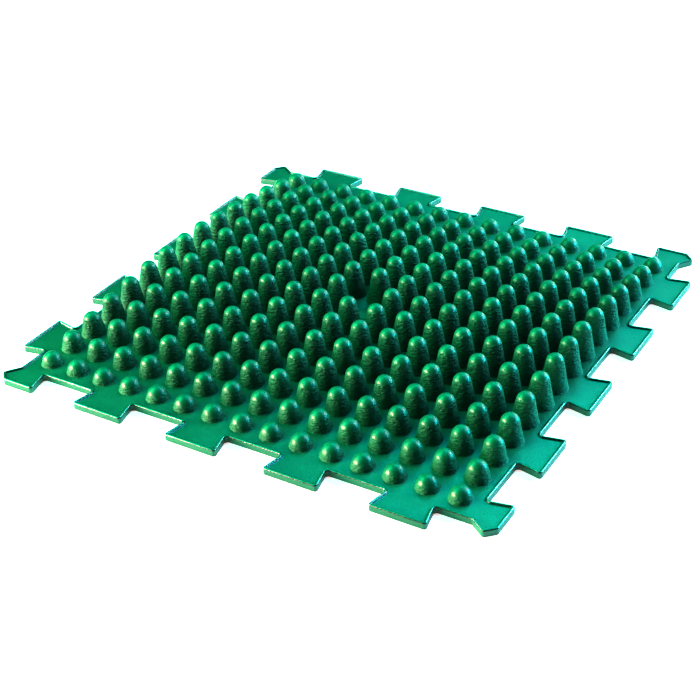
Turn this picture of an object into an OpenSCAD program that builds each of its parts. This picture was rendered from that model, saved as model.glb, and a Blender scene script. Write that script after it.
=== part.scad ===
// Interlocking studded mat tile, moulded in one soft piece.
// The tile stands on z = 0 with its centre at the origin. Front is -Y, right is +X.
// Its four sides are one outline turned in quarter turns, so any side joins any other.
// Each moulded feature is a solid of its own, and neighbours meet face to face.

/* [Tile] */
// Distance between the centres of two joined tiles
tile_pitch = 239.3; // [180:0.1:320]
// Gap left between two joined tiles
joint_gap = 0.8; // [0.2:0.1:1.5]
// Thickness of the sheet under the studs
sheet_t = 2.6; // [2:0.1:6]

/* [Interlocking tabs] */
// Whole tabs on each side, as well as the corner tab
tabs_per_side = 4; // [4:1:4]
// How far a tab stands out from the bottom of the notches
tab_depth = 11.5; // [7:0.1:16]
// How far each flank of a tab leans outward
tab_flare_angle = 12; // [4:1:18]
// Width of the corner tab, from where four tiles meet
corner_tab_w = 20.8; // [17:0.1:27]
// How far a corner's point stays short of where four tiles meet
corner_short = 1.2; // [0.8:0.1:2]
// How far a corner's point lies past the side of the tile's square
corner_past = 0.8; // [0.6:0.1:1.4]

/* [Edge bead] */
// Width of the raised bead along the edge
bead_w = 1.2; // [0.8:0.1:2.4]
// Height of the bead above the sheet
bead_h = 0.8; // [0.4:0.1:2]

/* [Studs] */
// Distance from an outer row's centre line to the bottom of the notches
stud_margin = 9.9; // [8:0.1:12]
// Height of the studs in the front and back rows
edge_stud_h = 6; // [5:0.1:9]
// Height of the studs in the middle row
middle_stud_h = 17.6; // [10:0.1:26]
// How the rows rise to the middle: 1 is a straight ramp, 2 a round arch
crown_power = 1.8; // [1:0.1:3]
// Gap between the bases of neighbouring studs in the front and back rows
edge_base_gap = 4.4; // [3.4:0.1:5]
// Gap between the bases of neighbouring studs in the middle row
middle_base_gap = 1.6; // [1.2:0.1:4.8]
// How much smaller a tip's radius is than its base's in the front and back rows
edge_taper = 0.7; // [0.3:0.1:2.2]
// How much smaller a tip's radius is than its base's in the middle row
middle_taper = 2.6; // [1.1:0.1:3.5]

/* [Centre mark] */
// Radius of the low round pad in place of the middle stud
pad_r = 5; // [3:0.1:6]
// Height of the pad above the sheet
pad_h = 0.3; // [0.2:0.1:1]

/* [Hidden] */
rows = 15;
middle = (rows + 1)/2;
SIDES = ["front", "right", "back", "left"];
CORNERS = ["front_left_corner", "front_right_corner", "back_right_corner", "back_left_corner"];
function row_name(j) = str("stud_row_", j < 10 ? "0" : "", j);
function tab_name(side, k) = str(SIDES[side], "_tab_", k);
green = [0.0, 0.56, 0.37];

// The tile's square, the bottoms of its notches and the tips of its tabs, from the centre
half_pitch = tile_pitch/2;
half_sheet = (tile_pitch - tab_depth - joint_gap)/2;
half_tips = half_sheet + tab_depth;

// A tab and the notch beside it take one tab pitch between them
corner_flank_x = corner_tab_w - half_pitch;
tab_pitch = (tile_pitch - 2*corner_tab_w)/tabs_per_side;
flank_lean = tab_depth/2*tan(tab_flare_angle);
half_tip_w = tab_pitch/4 - joint_gap/2 + flank_lean;
half_neck_w = tab_pitch/4 - joint_gap/2 - flank_lean;
function tab_x(k) = corner_flank_x + (k - 0.25)*tab_pitch;

// Stud grid, and the radii of the studs at both ends of the rise to the middle row
stud_pitch = 2*(half_sheet - stud_margin)/(rows - 1);
edge_base_r = (stud_pitch - edge_base_gap)/2;
middle_base_r = (stud_pitch - middle_base_gap)/2;
edge_tip_r = edge_base_r - edge_taper;
middle_tip_r = middle_base_r - middle_taper;

// A row's place on the grid, and its share of the rise from the outer rows to the middle one
function row_y(j) = (j - middle)*stud_pitch;
function rise(j) = 1 - pow(abs(j - middle)/(middle - 1), crown_power);
function between(edge, mid, j) = edge + (mid - edge)*rise(j);

// One tab of the front side, and the corner tab at that side's left end
function tab_points(k) = [
    [tab_x(k) - half_neck_w, -half_sheet],
    [tab_x(k) - half_tip_w, -half_tips],
    [tab_x(k) + half_tip_w, -half_tips],
    [tab_x(k) + half_neck_w, -half_sheet]
];
corner_x = corner_short - half_pitch;
corner_y = -half_pitch - corner_past;
function corner_points() = [
    [-half_sheet, -half_sheet],
    [corner_x, corner_y],
    [corner_x + half_tips + corner_y, -half_tips],
    [corner_flank_x - joint_gap/2 + flank_lean, -half_tips],
    [corner_flank_x - joint_gap/2 - flank_lean, -half_sheet]
];

// The whole outline, anticlockwise: the front side's points in four quarter turns
function turned(p, quarters) = quarters == 0 ? p : turned([-p.y, p.x], quarters - 1);
front_points = concat(
    corner_points(),
    [for (k = [1:tabs_per_side]) each tab_points(k)]
);
outline = [for (side = [0:3], p = front_points) turned(p, side)];

// An anticlockwise outline moved inward by d, with mitred corners
function inward(a, b) = [a.y - b.y, b.x - a.x]/norm(b - a);
function inset(points, d) = let (n = len(points)) [
    for (i = [0:n - 1])
        let (
            before = inward(points[(i + n - 1) % n], points[i]),
            after = inward(points[i], points[(i + 1) % n])
        )
        points[i] + d*(before + after)/(1 + before*after)
];

module slab(points) {
    color(green) linear_extrude(sheet_t) polygon(points);
}

module base_sheet() {
    slab([for (side = [0:3]) turned([-half_sheet, -half_sheet], side)]);
}

module tab(side, k) {
    slab([for (p = tab_points(k)) turned(p, side)]);
}

module corner_tab(side) {
    slab([for (p = corner_points()) turned(p, side)]);
}

module edge_bead() {
    color(green) translate([0, 0, sheet_t]) linear_extrude(bead_h) difference() {
        polygon(outline);
        polygon(inset(outline, bead_w));
    }
}

// A tapered stud with a round tip: its flank runs straight up to where it touches the tip's arc
module stud(h, base_r, tip_r) {
    tip_z = h - tip_r;
    reach = norm([base_r, tip_z]);
    touch = acos(tip_r/reach) - atan2(tip_z, base_r);
    touch_z = tip_z + tip_r*sin(touch);
    rotate_extrude($fn = 48) {
        polygon([[0, 0], [base_r, 0], [tip_r*cos(touch), touch_z], [0, touch_z]]);
        intersection() {
            translate([0, tip_z]) circle(tip_r, $fn = 48);
            translate([0, touch_z]) square([tip_r, h]);
        }
    }
}

// One row across the tile; the middle row leaves out its middle stud
module stud_row(j) {
    color(green) for (i = [1:rows])
        if (i != middle || j != middle)
            translate([row_y(i), row_y(j), sheet_t]) stud(
                between(edge_stud_h, middle_stud_h, j),
                between(edge_base_r, middle_base_r, j),
                between(edge_tip_r, middle_tip_r, j)
            );
}

module centre_pad() {
    color(green) translate([0, 0, sheet_t]) cylinder(h = pad_h, r = pad_r, $fn = 48);
}

base_sheet();
edge_bead();
centre_pad();
for (side = [0:3]) {
    corner_tab(side);
    for (k = [1:tabs_per_side])
        tab(side, k);
}
for (j = [1:rows])
    stud_row(j);
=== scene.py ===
"""Interlocking studded mat tile in soft green plastic.

Laid out as an add-on and run as a script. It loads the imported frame, builds the moulded skin,
the stud rows and the centre pad on it, and sets the stage. Lengths are in metres, +Z is up,
and the centre of the tile's underside is the origin. The front is -Y and the right is +X.
"""
import math

import bmesh
import bpy
from bpy.props import FloatProperty, FloatVectorProperty, IntProperty, PointerProperty
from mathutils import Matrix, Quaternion, Vector, noise


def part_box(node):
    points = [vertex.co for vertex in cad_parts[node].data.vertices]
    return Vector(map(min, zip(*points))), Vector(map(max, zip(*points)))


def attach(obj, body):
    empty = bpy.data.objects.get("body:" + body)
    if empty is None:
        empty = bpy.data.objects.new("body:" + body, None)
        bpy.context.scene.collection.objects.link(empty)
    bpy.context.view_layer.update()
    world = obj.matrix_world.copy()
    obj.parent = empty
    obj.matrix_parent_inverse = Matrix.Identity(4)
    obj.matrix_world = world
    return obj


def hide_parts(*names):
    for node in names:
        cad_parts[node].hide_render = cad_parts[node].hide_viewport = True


bl_info = {
    "name": "Studded Mat Tile",
    "version": (1, 0, 0),
    "blender": (4, 5, 0),
    "location": "View3D > Sidebar > Mat Tile",
    "description": "Builds a soft interlocking mat tile with rows of round-tipped studs",
    "category": "Add Mesh",
}

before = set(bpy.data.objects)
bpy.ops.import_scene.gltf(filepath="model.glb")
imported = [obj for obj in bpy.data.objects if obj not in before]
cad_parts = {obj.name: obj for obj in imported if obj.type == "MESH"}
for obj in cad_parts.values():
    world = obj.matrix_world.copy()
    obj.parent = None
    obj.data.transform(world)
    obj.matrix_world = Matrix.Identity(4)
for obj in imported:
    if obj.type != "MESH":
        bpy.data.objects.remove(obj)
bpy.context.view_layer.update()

MM = 0.001
SIDES = ("front", "right", "back", "left")
CORNERS = ("front_left_corner", "front_right_corner", "back_right_corner", "back_left_corner")
TABS_PER_SIDE = 4
ROWS = 15
MIDDLE_ROW = 8
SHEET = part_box("base_sheet")[1]
RIM_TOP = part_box("edge_bead")[1].z


# ---------------------------------------------------------------- settings

class MatTileSkin(bpy.types.PropertyGroup):
    """Sizes of the continuous skin: sheet, tabs and edge bead"""

    bead_width: FloatProperty(
        name="Bead width", description="Width of the raised bead along the edge",
        default=1.2 * MM, min=0.6 * MM, max=2.4 * MM, precision=5, unit="LENGTH")
    tip_radius: FloatProperty(
        name="Tip corner radius", description="Radius of the corners that point outward",
        default=1.3 * MM, min=0.4 * MM, max=2.5 * MM, precision=5, unit="LENGTH")
    notch_radius: FloatProperty(
        name="Notch corner radius", description="Radius of the corners inside the notches",
        default=1.5 * MM, min=0.4 * MM, max=2.5 * MM, precision=5, unit="LENGTH")
    foot_radius: FloatProperty(
        name="Foot radius", description="Rounding of the edge that the tile stands on",
        default=0.35 * MM, min=0.1 * MM, max=1 * MM, precision=5, unit="LENGTH")
    fillet: FloatProperty(
        name="Bead fillet", description="Fillet between the bead and the sheet",
        default=0.35 * MM, min=0.1 * MM, max=0.6 * MM, precision=5, unit="LENGTH")
    corner_steps: IntProperty(
        name="Corner steps", description="Edges round one corner of the outline",
        default=7, min=2, max=16)


class MatTileStuds(bpy.types.PropertyGroup):
    """Sizes of the studs that the frame's boxes don't give"""

    edge_tip_radius: FloatProperty(
        name="Outer tip radius", description="Tip radius of the studs in the outer rows",
        default=4.5 * MM, min=3 * MM, max=4.9 * MM, precision=5, unit="LENGTH")
    middle_tip_radius: FloatProperty(
        name="Middle tip radius", description="Tip radius of the studs in the middle row",
        default=4 * MM, min=2.5 * MM, max=4.9 * MM, precision=5, unit="LENGTH")
    fillet: FloatProperty(
        name="Base fillet", description="Fillet between a stud and the sheet",
        default=0.35 * MM, min=0.2 * MM, max=1.2 * MM, precision=5, unit="LENGTH")
    unevenness: FloatProperty(
        name="Unevenness", description="How far the soft flanks stray from a true cone",
        default=0.04 * MM, min=0, max=0.4 * MM, precision=5, unit="LENGTH")
    segments: IntProperty(
        name="Segments", description="Faces round one stud", default=32, min=12, max=64)


class MatTileFinish(bpy.types.PropertyGroup):
    """Colour and gloss of the moulded plastic"""

    deep_green: FloatVectorProperty(
        name="Deep green", description="Darker shade of the plastic",
        subtype="COLOR", size=3, min=0, max=1, default=(0.0, 0.118, 0.064))
    bright_green: FloatVectorProperty(
        name="Bright green", description="Lighter shade of the plastic",
        subtype="COLOR", size=3, min=0, max=1, default=(0.0, 0.155, 0.084))
    sheet_roughness: FloatProperty(
        name="Sheet roughness", description="Roughness of the grained sheet",
        default=0.42, min=0, max=1, subtype="FACTOR")
    # Painted shade: the sheet keeps only this share of the greens, so it is darker than the studs
    # of the same plastic
    sheet_painted_shade: FloatProperty(
        name="Sheet shade", description="Share of the two greens that the grained sheet keeps",
        default=0.86, min=0, max=1, subtype="FACTOR")
    tip_roughness: FloatProperty(
        name="Tip roughness", description="Roughness of the smooth stud tips",
        default=0.38, min=0, max=1, subtype="FACTOR")
    flank_roughness: FloatProperty(
        name="Flank roughness", description="Roughness of the wrinkled stud flanks",
        default=0.62, min=0, max=1, subtype="FACTOR")


class MatTileStage(bpy.types.PropertyGroup):
    """Camera and light"""

    azimuth: FloatProperty(
        name="Azimuth", description="Camera's turn to the right of the front",
        default=math.radians(31.65), subtype="ANGLE")
    elevation: FloatProperty(
        name="Elevation", description="Camera's angle above the floor",
        default=math.radians(32.42), subtype="ANGLE")
    roll: FloatProperty(
        name="Roll", description="Camera's turn about its own line of sight",
        default=math.radians(1.94), subtype="ANGLE")
    distance: FloatProperty(
        name="Distance", description="From the camera to the point that it looks at",
        default=0.6768, min=0.1, subtype="DISTANCE")
    aim: FloatVectorProperty(
        name="Aim", description="Point that the camera looks at",
        default=(0.01064, -0.03169, RIM_TOP), size=3, subtype="XYZ")
    focal_length: FloatProperty(
        name="Focal length", description="In millimetres, on a 36 mm sensor",
        default=76.6, min=10, max=300)
    power: FloatProperty(
        name="Light power", description="Share of each softbox's own power",
        default=1.04, min=0, max=4, subtype="FACTOR")
    contrast: FloatProperty(
        name="Contrast", description="How much the picture's contrast is raised",
        default=1.7, min=1, max=2, subtype="FACTOR")
    floor_glow: FloatProperty(
        name="Floor glow", description="Light that the floor gives off, as a light table does",
        default=0.9, min=0, max=2)


# ---------------------------------------------------------------- node helpers

class Term:
    """A number in a node tree. Arithmetic on it adds Math nodes."""

    def __init__(self, tree, socket):
        self.tree, self.socket = tree, socket

    def math(self, operation, *others):
        node = self.tree.nodes.new("ShaderNodeMath")
        node.operation = operation
        for place, value in zip(node.inputs, (self, *others)):
            feed(self.tree, place, value)
        return Term(self.tree, node.outputs[0])

    def __add__(self, other):
        return self.math("ADD", other)

    def __sub__(self, other):
        return self.math("SUBTRACT", other)

    def __mul__(self, other):
        return self.math("MULTIPLY", other)

    def __truediv__(self, other):
        return self.math("DIVIDE", other)

    def __neg__(self):
        return self.math("MULTIPLY", -1)

    def held(self, low, high):
        return self.math("MAXIMUM", low).math("MINIMUM", high)


def feed(tree, place, value):
    """Links a Term or socket to a node's input, or sets a plain value on it."""
    if isinstance(value, Term):
        value = value.socket
    if isinstance(value, bpy.types.NodeSocket):
        tree.links.new(value, place)
    else:
        place.default_value = value


def add_node(tree, kind, settings=(), **inputs):
    """A new node with its settings and inputs; an input's name has _ for its spaces."""
    node = tree.nodes.new(kind)
    for name, value in dict(settings).items():
        setattr(node, name, value)
    for name, value in inputs.items():
        feed(tree, node.inputs[name.replace("_", " ")], value)
    return node


# ---------------------------------------------------------------- plastic

# Cells of noise in a metre
CLOUDS, SPECKS = 26, 900
SHEET_GRAIN, SCUFFS = 1100, 120
WRINKLES, PITS = 520, 1000
CAST_GRAIN = 900
STUD_LUMPS = 260
WRINKLE_STRETCH = (1, 1, 2.6)

# How deep the relief goes
SHEET_WAVE_DEPTH = 0.6 * MM
SHEET_GRAIN_DEPTH = 0.16 * MM
WRINKLE_DEPTH = 2.1 * MM
CAST_DEPTH = 0.25 * MM

PLASTIC_IOR = 1.5
PLAIN_SPECULAR = 0.5
SHEET_SPECULAR = 1.0
BEAD_POLISH = 0.24
# How dark the painted shade in the groove at the bead's inner foot is
BEAD_FOOT_PAINTED_SHADE = 0.88


def noise_value(tree, vector, scale, detail, roughness=0.5):
    node = add_node(tree, "ShaderNodeTexNoise", Vector=vector, Scale=scale, Detail=detail,
                    Roughness=roughness)
    return Term(tree, node.outputs[0])


def stretched(tree, vector, factors):
    node = add_node(tree, "ShaderNodeVectorMath", {"operation": "MULTIPLY"})
    feed(tree, node.inputs[0], vector)
    node.inputs[1].default_value = factors
    return node.outputs[0]


def ramp(value, from_low, from_high, to_low=0.0, to_high=1.0):
    """value's range from_low..from_high spread over to_low..to_high, smoothly."""
    tree = value.tree
    node = add_node(tree, "ShaderNodeMapRange", {"interpolation_type": "SMOOTHSTEP"})
    for place, number in zip(node.inputs, (value, from_low, from_high, to_low, to_high)):
        feed(tree, place, number)
    return Term(tree, node.outputs[0])


def z_of(tree, vector):
    return Term(tree, add_node(tree, "ShaderNodeSeparateXYZ", Vector=vector).outputs["Z"])


def facing_up(tree):
    """The surface normal's Z: 1 on flat ground and 0 on a wall."""
    return z_of(tree, tree.nodes.new("ShaderNodeNewGeometry").outputs["Normal"])


def bumped(tree, height, depth, normal=None):
    node = add_node(tree, "ShaderNodeBump", Height=height, Distance=depth, Strength=1.0)
    if normal is not None:
        feed(tree, node.inputs["Normal"], normal)
    return node.outputs["Normal"]


def start_plastic(name, finish, lightness=None):
    """A material in the two greens, with its tree, its shader and the object coordinates.
    lightness makes the share of the greens that is kept."""
    material = bpy.data.materials.new(name)
    material.use_nodes = True
    tree = material.node_tree
    shader = tree.nodes["Principled BSDF"]
    place = tree.nodes.new("ShaderNodeTexCoord").outputs["Object"]
    clouds = noise_value(tree, place, CLOUDS, 3)
    specks = noise_value(tree, place, SPECKS, 2)
    greens = add_node(tree, "ShaderNodeMix", {"data_type": "RGBA"})
    feed(tree, greens.inputs["Factor"], ramp(clouds * 0.75 + specks * 0.25, 0.3, 0.7))
    greens.inputs[6].default_value = (*finish.deep_green, 1)
    greens.inputs[7].default_value = (*finish.bright_green, 1)
    shade = add_node(tree, "ShaderNodeVectorMath", {"operation": "SCALE"})
    feed(tree, shade.inputs[0], greens.outputs[2])
    feed(tree, shade.inputs["Scale"], lightness(tree, place) if lightness else 1.0)
    feed(tree, shader.inputs["Base Color"], shade.outputs[0])
    shader.inputs["IOR"].default_value = PLASTIC_IOR
    shader.inputs["Specular IOR Level"].default_value = PLAIN_SPECULAR
    return material, tree, shader, place


def bead_foot_painted_shade(tree, place):
    """Lightness of the sheet: 1, and less along the bead's inner foot, as painted shade in the
    groove there.
    """
    height = z_of(tree, place)
    above_sheet = ramp(height, SHEET.z, SHEET.z + 0.08 * MM)
    below_crest = ramp(height, SHEET.z + 0.42 * MM, SHEET.z + 0.68 * MM, 1.0, 0.0)
    not_wall = ramp(facing_up(tree), 0.02, 0.2, 0.0, BEAD_FOOT_PAINTED_SHADE)
    # Painted shade: the sheet's colour is darkened in the groove at the bead's inner foot
    return -(above_sheet * below_crest * not_wall) + 1


def sheet_plastic(finish):
    """Grained sheet, with a bead that is polished where hands and feet rub it."""
    # Painted shade: the whole sheet is darkened against the studs, and more along the bead's inner
    # foot
    def lightness(tree, place):
        return bead_foot_painted_shade(tree, place) * finish.sheet_painted_shade

    material, tree, shader, place = start_plastic("green_sheet_plastic", finish, lightness)
    shader.inputs["Specular IOR Level"].default_value = SHEET_SPECULAR
    bead = ramp(z_of(tree, place), SHEET.z + 0.1 * MM, RIM_TOP - 0.1 * MM)
    clouds = noise_value(tree, place, CLOUDS, 3)
    grain = noise_value(tree, place, SHEET_GRAIN, 3, 0.6)
    streaks = stretched(tree, place, (1, 3, 1))
    scuffs = ramp(noise_value(tree, streaks, SCUFFS, 4), 0.45, 0.75)
    roughness = grain * 0.12 + clouds * 0.1 + scuffs * 0.05 + (finish.sheet_roughness - 0.13)
    feed(tree, shader.inputs["Roughness"], roughness - bead * BEAD_POLISH)
    waves = bumped(tree, clouds, SHEET_WAVE_DEPTH)
    feed(tree, shader.inputs["Normal"], bumped(tree, grain, SHEET_GRAIN_DEPTH, waves))
    return material


def stud_plastic(finish):
    """Smooth glossy tips on flanks with fine wrinkles that run round the stud."""
    material, tree, shader, place = start_plastic("green_stud_plastic", finish)
    height = z_of(tree, place)
    above_fillet = ramp(height, SHEET.z + 1.5 * MM, SHEET.z + 3.5 * MM)
    flank = -(ramp(facing_up(tree), 0.15, 0.55, 0.0, 0.93) * above_fillet) + 1
    coarse = ramp(height, SHEET.z + 2 * MM, SHEET.z + 13 * MM, 0.35, 1.0)
    wrinkles = noise_value(tree, stretched(tree, place, WRINKLE_STRETCH), WRINKLES, 3)
    pits = noise_value(tree, place, PITS, 2)
    relief = flank * coarse * wrinkles + pits * 0.05
    mottle = wrinkles * 0.2 - 0.1
    roughness = flank * (finish.flank_roughness - finish.tip_roughness) + finish.tip_roughness
    feed(tree, shader.inputs["Roughness"], roughness + flank * mottle)
    feed(tree, shader.inputs["Normal"], bumped(tree, relief, WRINKLE_DEPTH))
    return material


def pad_plastic(finish):
    """Coarse cast grain of the mark in place of the middle stud."""
    material, tree, shader, place = start_plastic("green_cast_plastic", finish)
    cast = noise_value(tree, place, CAST_GRAIN, 4, 0.7)
    feed(tree, shader.inputs["Roughness"], cast * 0.2 + finish.sheet_roughness)
    feed(tree, shader.inputs["Normal"], bumped(tree, cast, CAST_DEPTH))
    return material


# ---------------------------------------------------------------- skin

LEAST_RADIUS = 0.25 * MM
CREST_STEPS = 8
FLAT_LOOP = 2.5


def turned(point, quarters):
    """A point on the plan, turned about the centre by quarter turns, anticlockwise."""
    x, y = point
    for _ in range(quarters % 4):
        x, y = -y, x
    return x, y


def plan_corners(node, side):
    """A flat convex node's corners from above, turned to the front side, anticlockwise
    from the left end of the edge that it shares with the sheet."""
    seen = {(round(v.co.x, 7), round(v.co.y, 7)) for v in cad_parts[node].data.vertices}
    points = [Vector(turned(p, -side)) for p in seen]
    centre = sum(points, Vector((0, 0))) / len(points)
    on_sheet = [p for p in points if p.y > -SHEET.y - 0.01 * MM]
    start = min(on_sheet, key=lambda p: p.x) - centre
    just_before = 0.001
    first = math.atan2(start.y, start.x) - just_before

    def from_start(p):
        return (math.atan2(p.y - centre.y, p.x - centre.x) - first) % math.tau

    return sorted(points, key=from_start)


def tile_outline():
    """The tile's sharp outline from above, anticlockwise from the front left corner."""
    outline = []
    for side, (word, corner) in enumerate(zip(SIDES, CORNERS)):
        tabs = [f"{word}_tab_{k}" for k in range(1, TABS_PER_SIDE + 1)]
        for node in (corner, *tabs):
            outline += [Vector(turned(p, side)) for p in plan_corners(node, side)]
    return outline


def rounded_loop(outline, inset, skin):
    """The outline moved inward by inset, with each corner an arc of corner_steps edges.
    Corners that point outward tighten as the loop moves in, and notch corners widen."""
    loop = []
    for i, here in enumerate(outline):
        before, after = here - outline[i - 1], outline[(i + 1) % len(outline)] - here
        before.normalize()
        after.normalize()
        turn = before.angle_signed(after) * -1
        in_a, in_b = Vector((-before.y, before.x)), Vector((-after.y, after.x))
        corner = here + (in_a + in_b) * inset / (1 + in_a.dot(in_b))
        if turn > 0:
            radius = max(skin.tip_radius - inset, LEAST_RADIUS)
            side = 1
        else:
            radius = skin.notch_radius + inset
            side = -1
        run = radius * math.tan(abs(turn) / 2)
        centre = corner - before * run + in_a * radius * side
        arm = -in_a * radius * side
        for step in range(skin.corner_steps + 1):
            a = turn * step / skin.corner_steps
            loop.append(centre + Vector((arm.x * math.cos(a) - arm.y * math.sin(a),
                                         arm.x * math.sin(a) + arm.y * math.cos(a))))
    return loop


def edge_profile(skin):
    """(inset, height) of each loop, from the underside up the wall, over the bead, onto
    the sheet. The flat loop at each end keeps the wide faces' shading level."""
    foot, fillet, crest = skin.foot_radius, skin.fillet, skin.bead_width / 2
    quarter = [math.radians(a) for a in (0, 30, 60, 90)]
    profile = [(foot + fillet, 0)]
    profile += [(foot * (1 - math.sin(a)), foot * (1 - math.cos(a))) for a in quarter]
    for step in range(CREST_STEPS + 1):
        a = math.pi * step / CREST_STEPS
        profile.append((crest * (1 - math.cos(a)), RIM_TOP - crest + crest * math.sin(a)))
    for a in quarter:
        profile.append((skin.bead_width + fillet * (1 - math.cos(a)),
                        SHEET.z + fillet * (1 - math.sin(a))))
    profile.append((skin.bead_width + fillet * FLAT_LOOP, SHEET.z))
    return profile


def build_skin(skin, finish):
    """Sheet, tabs and edge bead as one closed skin."""
    outline = tile_outline()
    mesh = bpy.data.meshes.new("tile_skin")
    work = bmesh.new()
    loops = []
    for inset, height in edge_profile(skin):
        points = rounded_loop(outline, inset, skin)
        loops.append([work.verts.new((p.x, p.y, height)) for p in points])
    for low, high in zip(loops, loops[1:]):
        for i in range(len(low)):
            work.faces.new((low[i - 1], low[i], high[i], high[i - 1]))
    work.faces.new(reversed(loops[0]))
    work.faces.new(loops[-1])
    for face in work.faces:
        face.smooth = True
    work.to_mesh(mesh)
    work.free()
    mesh.materials.append(sheet_plastic(finish))
    return new_piece("tile_skin", mesh)


# ---------------------------------------------------------------- studs

STUD_INPUTS = (
    ("Count", "NodeSocketInt"), ("Left Out", "NodeSocketInt"), ("Segments", "NodeSocketInt"),
    ("Seed", "NodeSocketInt"), ("Start", "NodeSocketVector"), ("Pitch", "NodeSocketFloat"),
    ("Height", "NodeSocketFloat"), ("Base Radius", "NodeSocketFloat"),
    ("Tip Radius", "NodeSocketFloat"), ("Fillet", "NodeSocketFloat"),
    ("Unevenness", "NodeSocketFloat"), ("Material", "NodeSocketMaterial"),
)
FILLET_STEPS, FLANK_STEPS, TIP_STEPS = 3, 5, 7
SUNK = 0.03 * MM
MERGE_WITHIN = 0.001 * MM


def stud_profile(tree, sizes, k):
    """(radius, height) at the k-th point of a stud's profile: the axis, the base fillet,
    the straight flank, then the round tip, which the flank touches. The base is sunk a
    little way into the sheet."""
    base, tip, fillet = sizes["Base Radius"], sizes["Tip Radius"], sizes["Fillet"]
    tip_z = sizes["Height"] - tip
    reach = (base * base + tip_z * tip_z).math("SQRT")
    lean = (tip / reach).math("ARCCOSINE") - tip_z.math("ARCTAN2", base)
    sine, cosine = lean.math("SINE"), lean.math("COSINE")

    def share(start, steps):
        return (k - start).held(0, steps) / steps

    on_fillet = share(1, FILLET_STEPS)
    on_flank = share(1 + FILLET_STEPS, FLANK_STEPS)
    on_tip = share(1 + FILLET_STEPS + FLANK_STEPS, TIP_STEPS)
    fillet_x = base + fillet * (-sine + 1) / cosine
    bend = (lean - math.pi / 2) * on_fillet - math.pi / 2
    touch_r, touch_z = tip * cosine, tip_z + tip * sine
    foot_r, foot_z = fillet_x - fillet * cosine, fillet - fillet * sine
    rest = (-lean + math.pi / 2) * on_tip + lean
    radius = (fillet_x + fillet * bend.math("COSINE") + (touch_r - foot_r) * on_flank
              + tip * rest.math("COSINE") - touch_r)
    height = (fillet + fillet * bend.math("SINE") + (touch_z - foot_z) * on_flank
              + tip_z + tip * rest.math("SINE") - touch_z)
    return radius * k.held(0, 1), height - (-on_fillet + 1) * SUNK


def stud_row_tree():
    """Geometry nodes that turn one stud on its axis and set a row of copies of it."""
    tree = bpy.data.node_groups.new("Stud Row", "GeometryNodeTree")
    for name, kind in STUD_INPUTS:
        tree.interface.new_socket(name, in_out="INPUT", socket_type=kind)
    tree.interface.new_socket("Geometry", in_out="OUTPUT", socket_type="NodeSocketGeometry")
    sockets = tree.nodes.new("NodeGroupInput").outputs
    sizes = {name: Term(tree, sockets[name]) for name, _ in STUD_INPUTS}

    steps = 1 + FILLET_STEPS + FLANK_STEPS + TIP_STEPS
    grid = add_node(tree, "GeometryNodeMeshGrid", Size_X=1.0, Size_Y=1.0,
                    Vertices_X=sizes["Segments"] + 1, Vertices_Y=steps + 1)
    spot = add_node(tree, "ShaderNodeSeparateXYZ",
                    Vector=tree.nodes.new("GeometryNodeInputPosition").outputs[0])
    angle = (Term(tree, spot.outputs["X"]) + 0.5) * math.tau
    radius, height = stud_profile(tree, sizes, (Term(tree, spot.outputs["Y"]) + 0.5) * steps)
    place = add_node(tree, "ShaderNodeCombineXYZ", X=radius * angle.math("COSINE"),
                     Y=radius * angle.math("SINE"), Z=height)
    lathe = add_node(tree, "GeometryNodeSetPosition", Geometry=grid.outputs["Mesh"],
                     Position=place.outputs[0])
    stud = add_node(tree, "GeometryNodeMergeByDistance", Geometry=lathe.outputs[0],
                    Distance=MERGE_WITHIN)

    stride = add_node(tree, "ShaderNodeCombineXYZ", X=sizes["Pitch"])
    line = add_node(tree, "GeometryNodeMeshLine", {"mode": "OFFSET"}, Count=sizes["Count"],
                    Start_Location=sizes["Start"], Offset=stride.outputs[0])
    kept = add_node(tree, "FunctionNodeCompare", {"data_type": "INT", "operation": "NOT_EQUAL"})
    feed(tree, kept.inputs[2], tree.nodes.new("GeometryNodeInputIndex").outputs[0])
    feed(tree, kept.inputs[3], sizes["Left Out"])
    spin = add_node(tree, "FunctionNodeRandomValue", Seed=sizes["Seed"], Max=math.tau)
    facing = add_node(tree, "ShaderNodeCombineXYZ", Z=spin.outputs["Value"])
    row = add_node(tree, "GeometryNodeInstanceOnPoints", Points=line.outputs[0],
                   Selection=kept.outputs[0], Instance=stud.outputs[0],
                   Rotation=facing.outputs[0])
    real = add_node(tree, "GeometryNodeRealizeInstances", Geometry=row.outputs[0])

    here = tree.nodes.new("GeometryNodeInputPosition").outputs[0]
    lumps = noise_value(tree, here, STUD_LUMPS, 1) - 0.5
    above = (z_of(tree, here) - SHEET.z) / MM
    below = sizes["Height"] / MM - above
    push = add_node(tree, "ShaderNodeVectorMath", {"operation": "SCALE"},
                    Scale=lumps * (above - 0.5).held(0, 1) * below.held(0, 1)
                    * sizes["Unevenness"])
    feed(tree, push.inputs[0], tree.nodes.new("GeometryNodeInputNormal").outputs[0])
    soft = add_node(tree, "GeometryNodeSetPosition", Geometry=real.outputs[0],
                    Offset=push.outputs[0])
    smooth = add_node(tree, "GeometryNodeSetShadeSmooth", Geometry=soft.outputs[0])
    coloured = add_node(tree, "GeometryNodeSetMaterial", Geometry=smooth.outputs[0],
                        Material=sizes["Material"])
    feed(tree, tree.nodes.new("NodeGroupOutput").inputs[0], coloured.outputs[0])
    return tree


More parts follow.
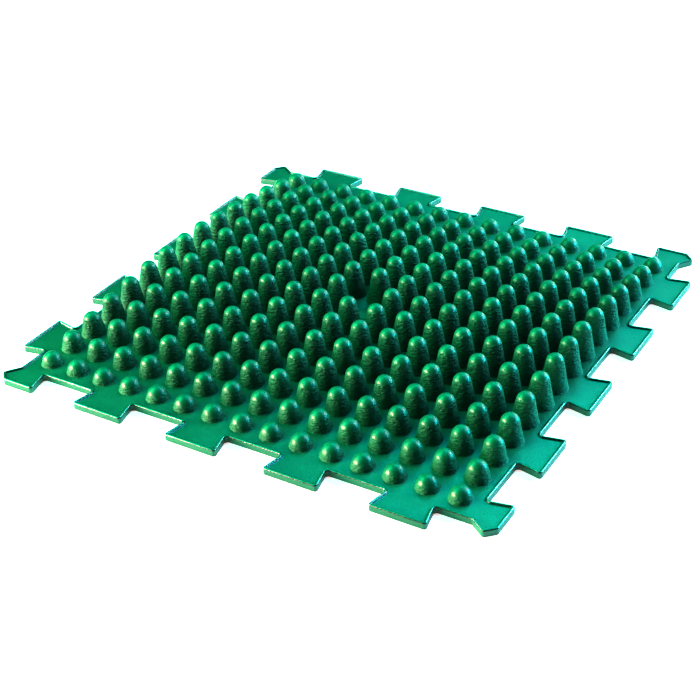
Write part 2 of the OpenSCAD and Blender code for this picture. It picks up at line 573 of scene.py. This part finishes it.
def grown(name, tree, values):
    """The geometry that a tree makes from these named values, as a plain mesh."""
    seedling = bpy.data.objects.new(name, bpy.data.meshes.new(name))
    bpy.context.scene.collection.objects.link(seedling)
    modifier = seedling.modifiers.new("Grow", "NODES")
    modifier.node_group = tree
    sockets = {item.name: item.identifier for item in tree.interface.items_tree}
    for label, value in values.items():
        modifier[sockets[label]] = value
    graph = bpy.context.evaluated_depsgraph_get()
    mesh = bpy.data.meshes.new_from_object(seedling.evaluated_get(graph), depsgraph=graph)
    seedling.modifiers.remove(modifier)
    bpy.data.objects.remove(seedling)
    mesh.name = name
    return mesh


def build_stud_row(row, tree, studs, plastic):
    """One row of studs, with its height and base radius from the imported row."""
    low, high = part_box(f"stud_row_{row:02d}")
    base = (high.y - low.y) / 2
    middle_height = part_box(f"stud_row_{MIDDLE_ROW:02d}")[1].z
    edge_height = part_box("stud_row_01")[1].z
    rise = (high.z - edge_height) / (middle_height - edge_height)
    values = {
        "Count": ROWS, "Left Out": MIDDLE_ROW - 1 if row == MIDDLE_ROW else -1,
        "Segments": studs.segments, "Seed": row,
        "Start": (low.x + base, (low.y + high.y) / 2, SHEET.z),
        "Pitch": (high.x - low.x - 2 * base) / (ROWS - 1),
        "Height": high.z - SHEET.z, "Base Radius": base,
        "Tip Radius": studs.edge_tip_radius
        + (studs.middle_tip_radius - studs.edge_tip_radius) * rise,
        "Fillet": studs.fillet, "Unevenness": studs.unevenness, "Material": plastic,
    }
    name = f"studs_row_{row:02d}"
    return new_piece(name, grown(name, tree, values))


# ---------------------------------------------------------------- centre pad

PAD_SEGMENTS = 48
PAD_EDGE_SHARE = 0.8
PAD_RINGS = (0.9, 0.75, 0.6, 0.45, 0.3, 0.15)
PAD_LUMP_SIZE = 0.9 * MM
PAD_LUMP_DEPTH = 0.12 * MM
PAD_DIMPLE = 0.05 * MM


def build_pad(finish):
    """The low round pad with a coarse cast face and a rounded edge."""
    low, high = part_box("centre_pad")
    radius = high.x
    edge = (high.z - low.z) * PAD_EDGE_SHARE
    profile = [(radius, low.z - SUNK), (radius, high.z - edge)]
    profile += [(radius - edge * (1 - math.cos(a)), high.z - edge * (1 - math.sin(a)))
                for a in (math.radians(30), math.radians(60), math.radians(90))]
    profile += [((radius - edge) * share, high.z) for share in PAD_RINGS]
    mesh = bpy.data.meshes.new("centre_pad_face")
    work = bmesh.new()
    rings = []
    for r, z in profile:
        ring = []
        for i in range(PAD_SEGMENTS):
            a = math.tau * i / PAD_SEGMENTS
            x, y = r * math.cos(a), r * math.sin(a)
            grain = noise.noise(Vector((x, y, 0)) / PAD_LUMP_SIZE) - 0.4 if r < radius - edge else 0
            ring.append(work.verts.new((x, y, z + min(grain, 0) * PAD_LUMP_DEPTH)))
        rings.append(ring)
    for outer, inner in zip(rings, rings[1:]):
        for i in range(PAD_SEGMENTS):
            work.faces.new((outer[i - 1], outer[i], inner[i], inner[i - 1]))
    top = work.verts.new((0, 0, high.z - PAD_DIMPLE))
    for i in range(PAD_SEGMENTS):
        work.faces.new((rings[-1][i - 1], rings[-1][i], top))
    work.faces.new(reversed(rings[0]))
    for face in work.faces:
        face.smooth = True
    work.to_mesh(mesh)
    work.free()
    mesh.materials.append(pad_plastic(finish))
    return new_piece("centre_pad_face", mesh)


def new_piece(name, mesh):
    piece = bpy.data.objects.new(name, mesh)
    bpy.context.scene.collection.objects.link(piece)
    return piece


# ---------------------------------------------------------------- stage

FLOOR_REACH = 4.0
SENSOR_WIDTH = 36

# Name, azimuth and elevation in degrees, distance, width and height in metres, watts, colour.
# Warm light comes from the left and the front, and cool light from the right and behind.
SOFTBOXES = (
    ("warm_key", -49, 9, 1.2, 0.8, 0.34, 62, (1.0, 0.56, 0.5)),
    ("low_front", -34, 6, 1.0, 0.7, 0.14, 4, (1.0, 0.85, 0.5)),
    ("front_left_fill", -50, 36, 1.2, 0.9, 0.7, 13, (0.0, 1.0, 0.56)),
    ("left_fill", -72, 50, 0.75, 0.5, 0.5, 7.4, (0.0, 1.0, 0.72)),
    ("cool_key", 143, 32, 1.2, 0.35, 0.3, 11, (1.0, 0.85, 0.85)),
    ("cool_back", 172, 10, 1.2, 0.36, 0.26, 5, (0.9, 0.95, 1.0)),
    ("cool_right", 128, 14, 0.9, 0.5, 0.3, 16.5, (0.03, 0.78, 1.0)),
    ("right_fill", 120, 50, 0.6, 0.4, 0.4, 2.0, (0.0, 0.5, 1.0)),
    ("back_fill", 185, 52, 1.2, 0.8, 0.8, 15.5, (0.0, 0.92, 0.92)),
)


def direction(azimuth, elevation):
    """Unit vector towards a point; azimuth 0 is the front and grows to the right."""
    flat = math.cos(elevation)
    return Vector((math.sin(azimuth) * flat, -math.cos(azimuth) * flat, math.sin(elevation)))


def aim_at(thing, place, target, roll=0.0):
    thing.location = place
    facing = (Vector(target) - Vector(place)).to_track_quat("-Z", "Y")
    thing.rotation_mode = "QUATERNION"
    thing.rotation_quaternion = facing @ Quaternion((0, 0, 1), -roll)


def add_softbox(name, azimuth, elevation, distance, width, height, watts, colour):
    lamp = bpy.data.lights.new(name, "AREA")
    lamp.shape = "RECTANGLE"
    lamp.size, lamp.size_y = width, height
    lamp.energy = watts
    lamp.color = colour
    box = bpy.data.objects.new(name, lamp)
    bpy.context.scene.collection.objects.link(box)
    place = direction(math.radians(azimuth), math.radians(elevation)) * distance
    aim_at(box, place, (0, 0, 0))


def add_floor(stage):
    material = bpy.data.materials.new("pale_floor")
    material.use_nodes = True
    shader = material.node_tree.nodes["Principled BSDF"]
    shader.inputs["Base Color"].default_value = (0.9, 0.82, 0.82, 1)
    shader.inputs["Roughness"].default_value = 0.8
    shader.inputs["Specular IOR Level"].default_value = 0.1
    shader.inputs["Emission Color"].default_value = (1.0, 0.84, 0.84, 1)
    shader.inputs["Emission Strength"].default_value = stage.floor_glow
    corners = [(*turned((-FLOOR_REACH, -FLOOR_REACH), quarters), 0) for quarters in range(4)]
    mesh = bpy.data.meshes.new("floor")
    mesh.from_pydata(corners, [], [(0, 1, 2, 3)])
    mesh.materials.append(material)
    floor = new_piece("floor", mesh)


def add_camera(stage):
    data = bpy.data.cameras.new("camera")
    data.lens = stage.focal_length
    data.sensor_width = SENSOR_WIDTH
    data.clip_start, data.clip_end = 0.01, 50
    camera = bpy.data.objects.new("camera", data)
    bpy.context.scene.collection.objects.link(camera)
    back = direction(stage.azimuth, stage.elevation)
    aim = Vector(stage.aim)
    aim_at(camera, aim + back * stage.distance, aim, stage.roll)
    bpy.context.scene.camera = camera


# ---------------------------------------------------------------- operators

class MATTILE_OT_skin(bpy.types.Operator):
    """Build the sheet, its tabs and its edge bead as one skin"""

    bl_idname = "mattile.skin"
    bl_label = "Build Skin"

    def execute(self, context):
        scene = context.scene
        skin = build_skin(scene.mattile_skin, scene.mattile_finish)
        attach(skin, "root")
        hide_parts("base_sheet", "edge_bead", *CORNERS,
                    *(f"{side}_tab_{k}" for side in SIDES for k in range(1, TABS_PER_SIDE + 1)))
        return {"FINISHED"}


class MATTILE_OT_studs(bpy.types.Operator):
    """Grow every row of studs on the sheet"""

    bl_idname = "mattile.studs"
    bl_label = "Grow Studs"

    def execute(self, context):
        tree = stud_row_tree()
        plastic = stud_plastic(context.scene.mattile_finish)
        for row in range(1, ROWS + 1):
            studs = build_stud_row(row, tree, context.scene.mattile_studs, plastic)
            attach(studs, "root")
            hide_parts(f"stud_row_{row:02d}")
        return {"FINISHED"}


class MATTILE_OT_pad(bpy.types.Operator):
    """Build the pad in place of the middle stud"""

    bl_idname = "mattile.pad"
    bl_label = "Build Centre Pad"

    def execute(self, context):
        pad = build_pad(context.scene.mattile_finish)
        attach(pad, "root")
        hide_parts("centre_pad")
        return {"FINISHED"}


class MATTILE_OT_stage(bpy.types.Operator):
    """Set the floor, the lights and the camera"""

    bl_idname = "mattile.stage"
    bl_label = "Set Stage"

    def execute(self, context):
        stage = context.scene.mattile_stage
        view = context.scene.view_settings
        view.view_transform = "Standard"
        view.gamma = 1 / stage.contrast
        add_floor(stage)
        for *place_and_size, watts, colour in SOFTBOXES:
            add_softbox(*place_and_size, watts * stage.power, colour)
        add_camera(stage)
        return {"FINISHED"}


class MATTILE_PT_panel(bpy.types.Panel):
    """Mat tile sizes, finish and stage"""

    bl_idname = "MATTILE_PT_panel"
    bl_label = "Mat Tile"
    bl_space_type = "VIEW_3D"
    bl_region_type = "UI"
    bl_category = "Mat Tile"

    def draw(self, context):
        scene = context.scene
        groups = (scene.mattile_skin, scene.mattile_studs, scene.mattile_finish,
                  scene.mattile_stage)
        for group in groups:
            box = self.layout.box()
            for name in group.__annotations__:
                box.prop(group, name)
        for operator in OPERATORS:
            self.layout.operator(operator.bl_idname)


GROUPS = {
    "mattile_skin": MatTileSkin,
    "mattile_studs": MatTileStuds,
    "mattile_finish": MatTileFinish,
    "mattile_stage": MatTileStage,
}
OPERATORS = (MATTILE_OT_skin, MATTILE_OT_studs, MATTILE_OT_pad, MATTILE_OT_stage)


def register():
    for cls in (*GROUPS.values(), *OPERATORS, MATTILE_PT_panel):
        bpy.utils.register_class(cls)
    for name, group in GROUPS.items():
        setattr(bpy.types.Scene, name, PointerProperty(type=group))


def unregister():
    for name in GROUPS:
        delattr(bpy.types.Scene, name)
    for cls in reversed((*GROUPS.values(), *OPERATORS, MATTILE_PT_panel)):
        bpy.utils.unregister_class(cls)


def main():
    register()
    bpy.ops.mattile.skin()
    bpy.ops.mattile.studs()
    bpy.ops.mattile.pad()
    bpy.ops.mattile.stage()


if __name__ == "__main__":
    main()
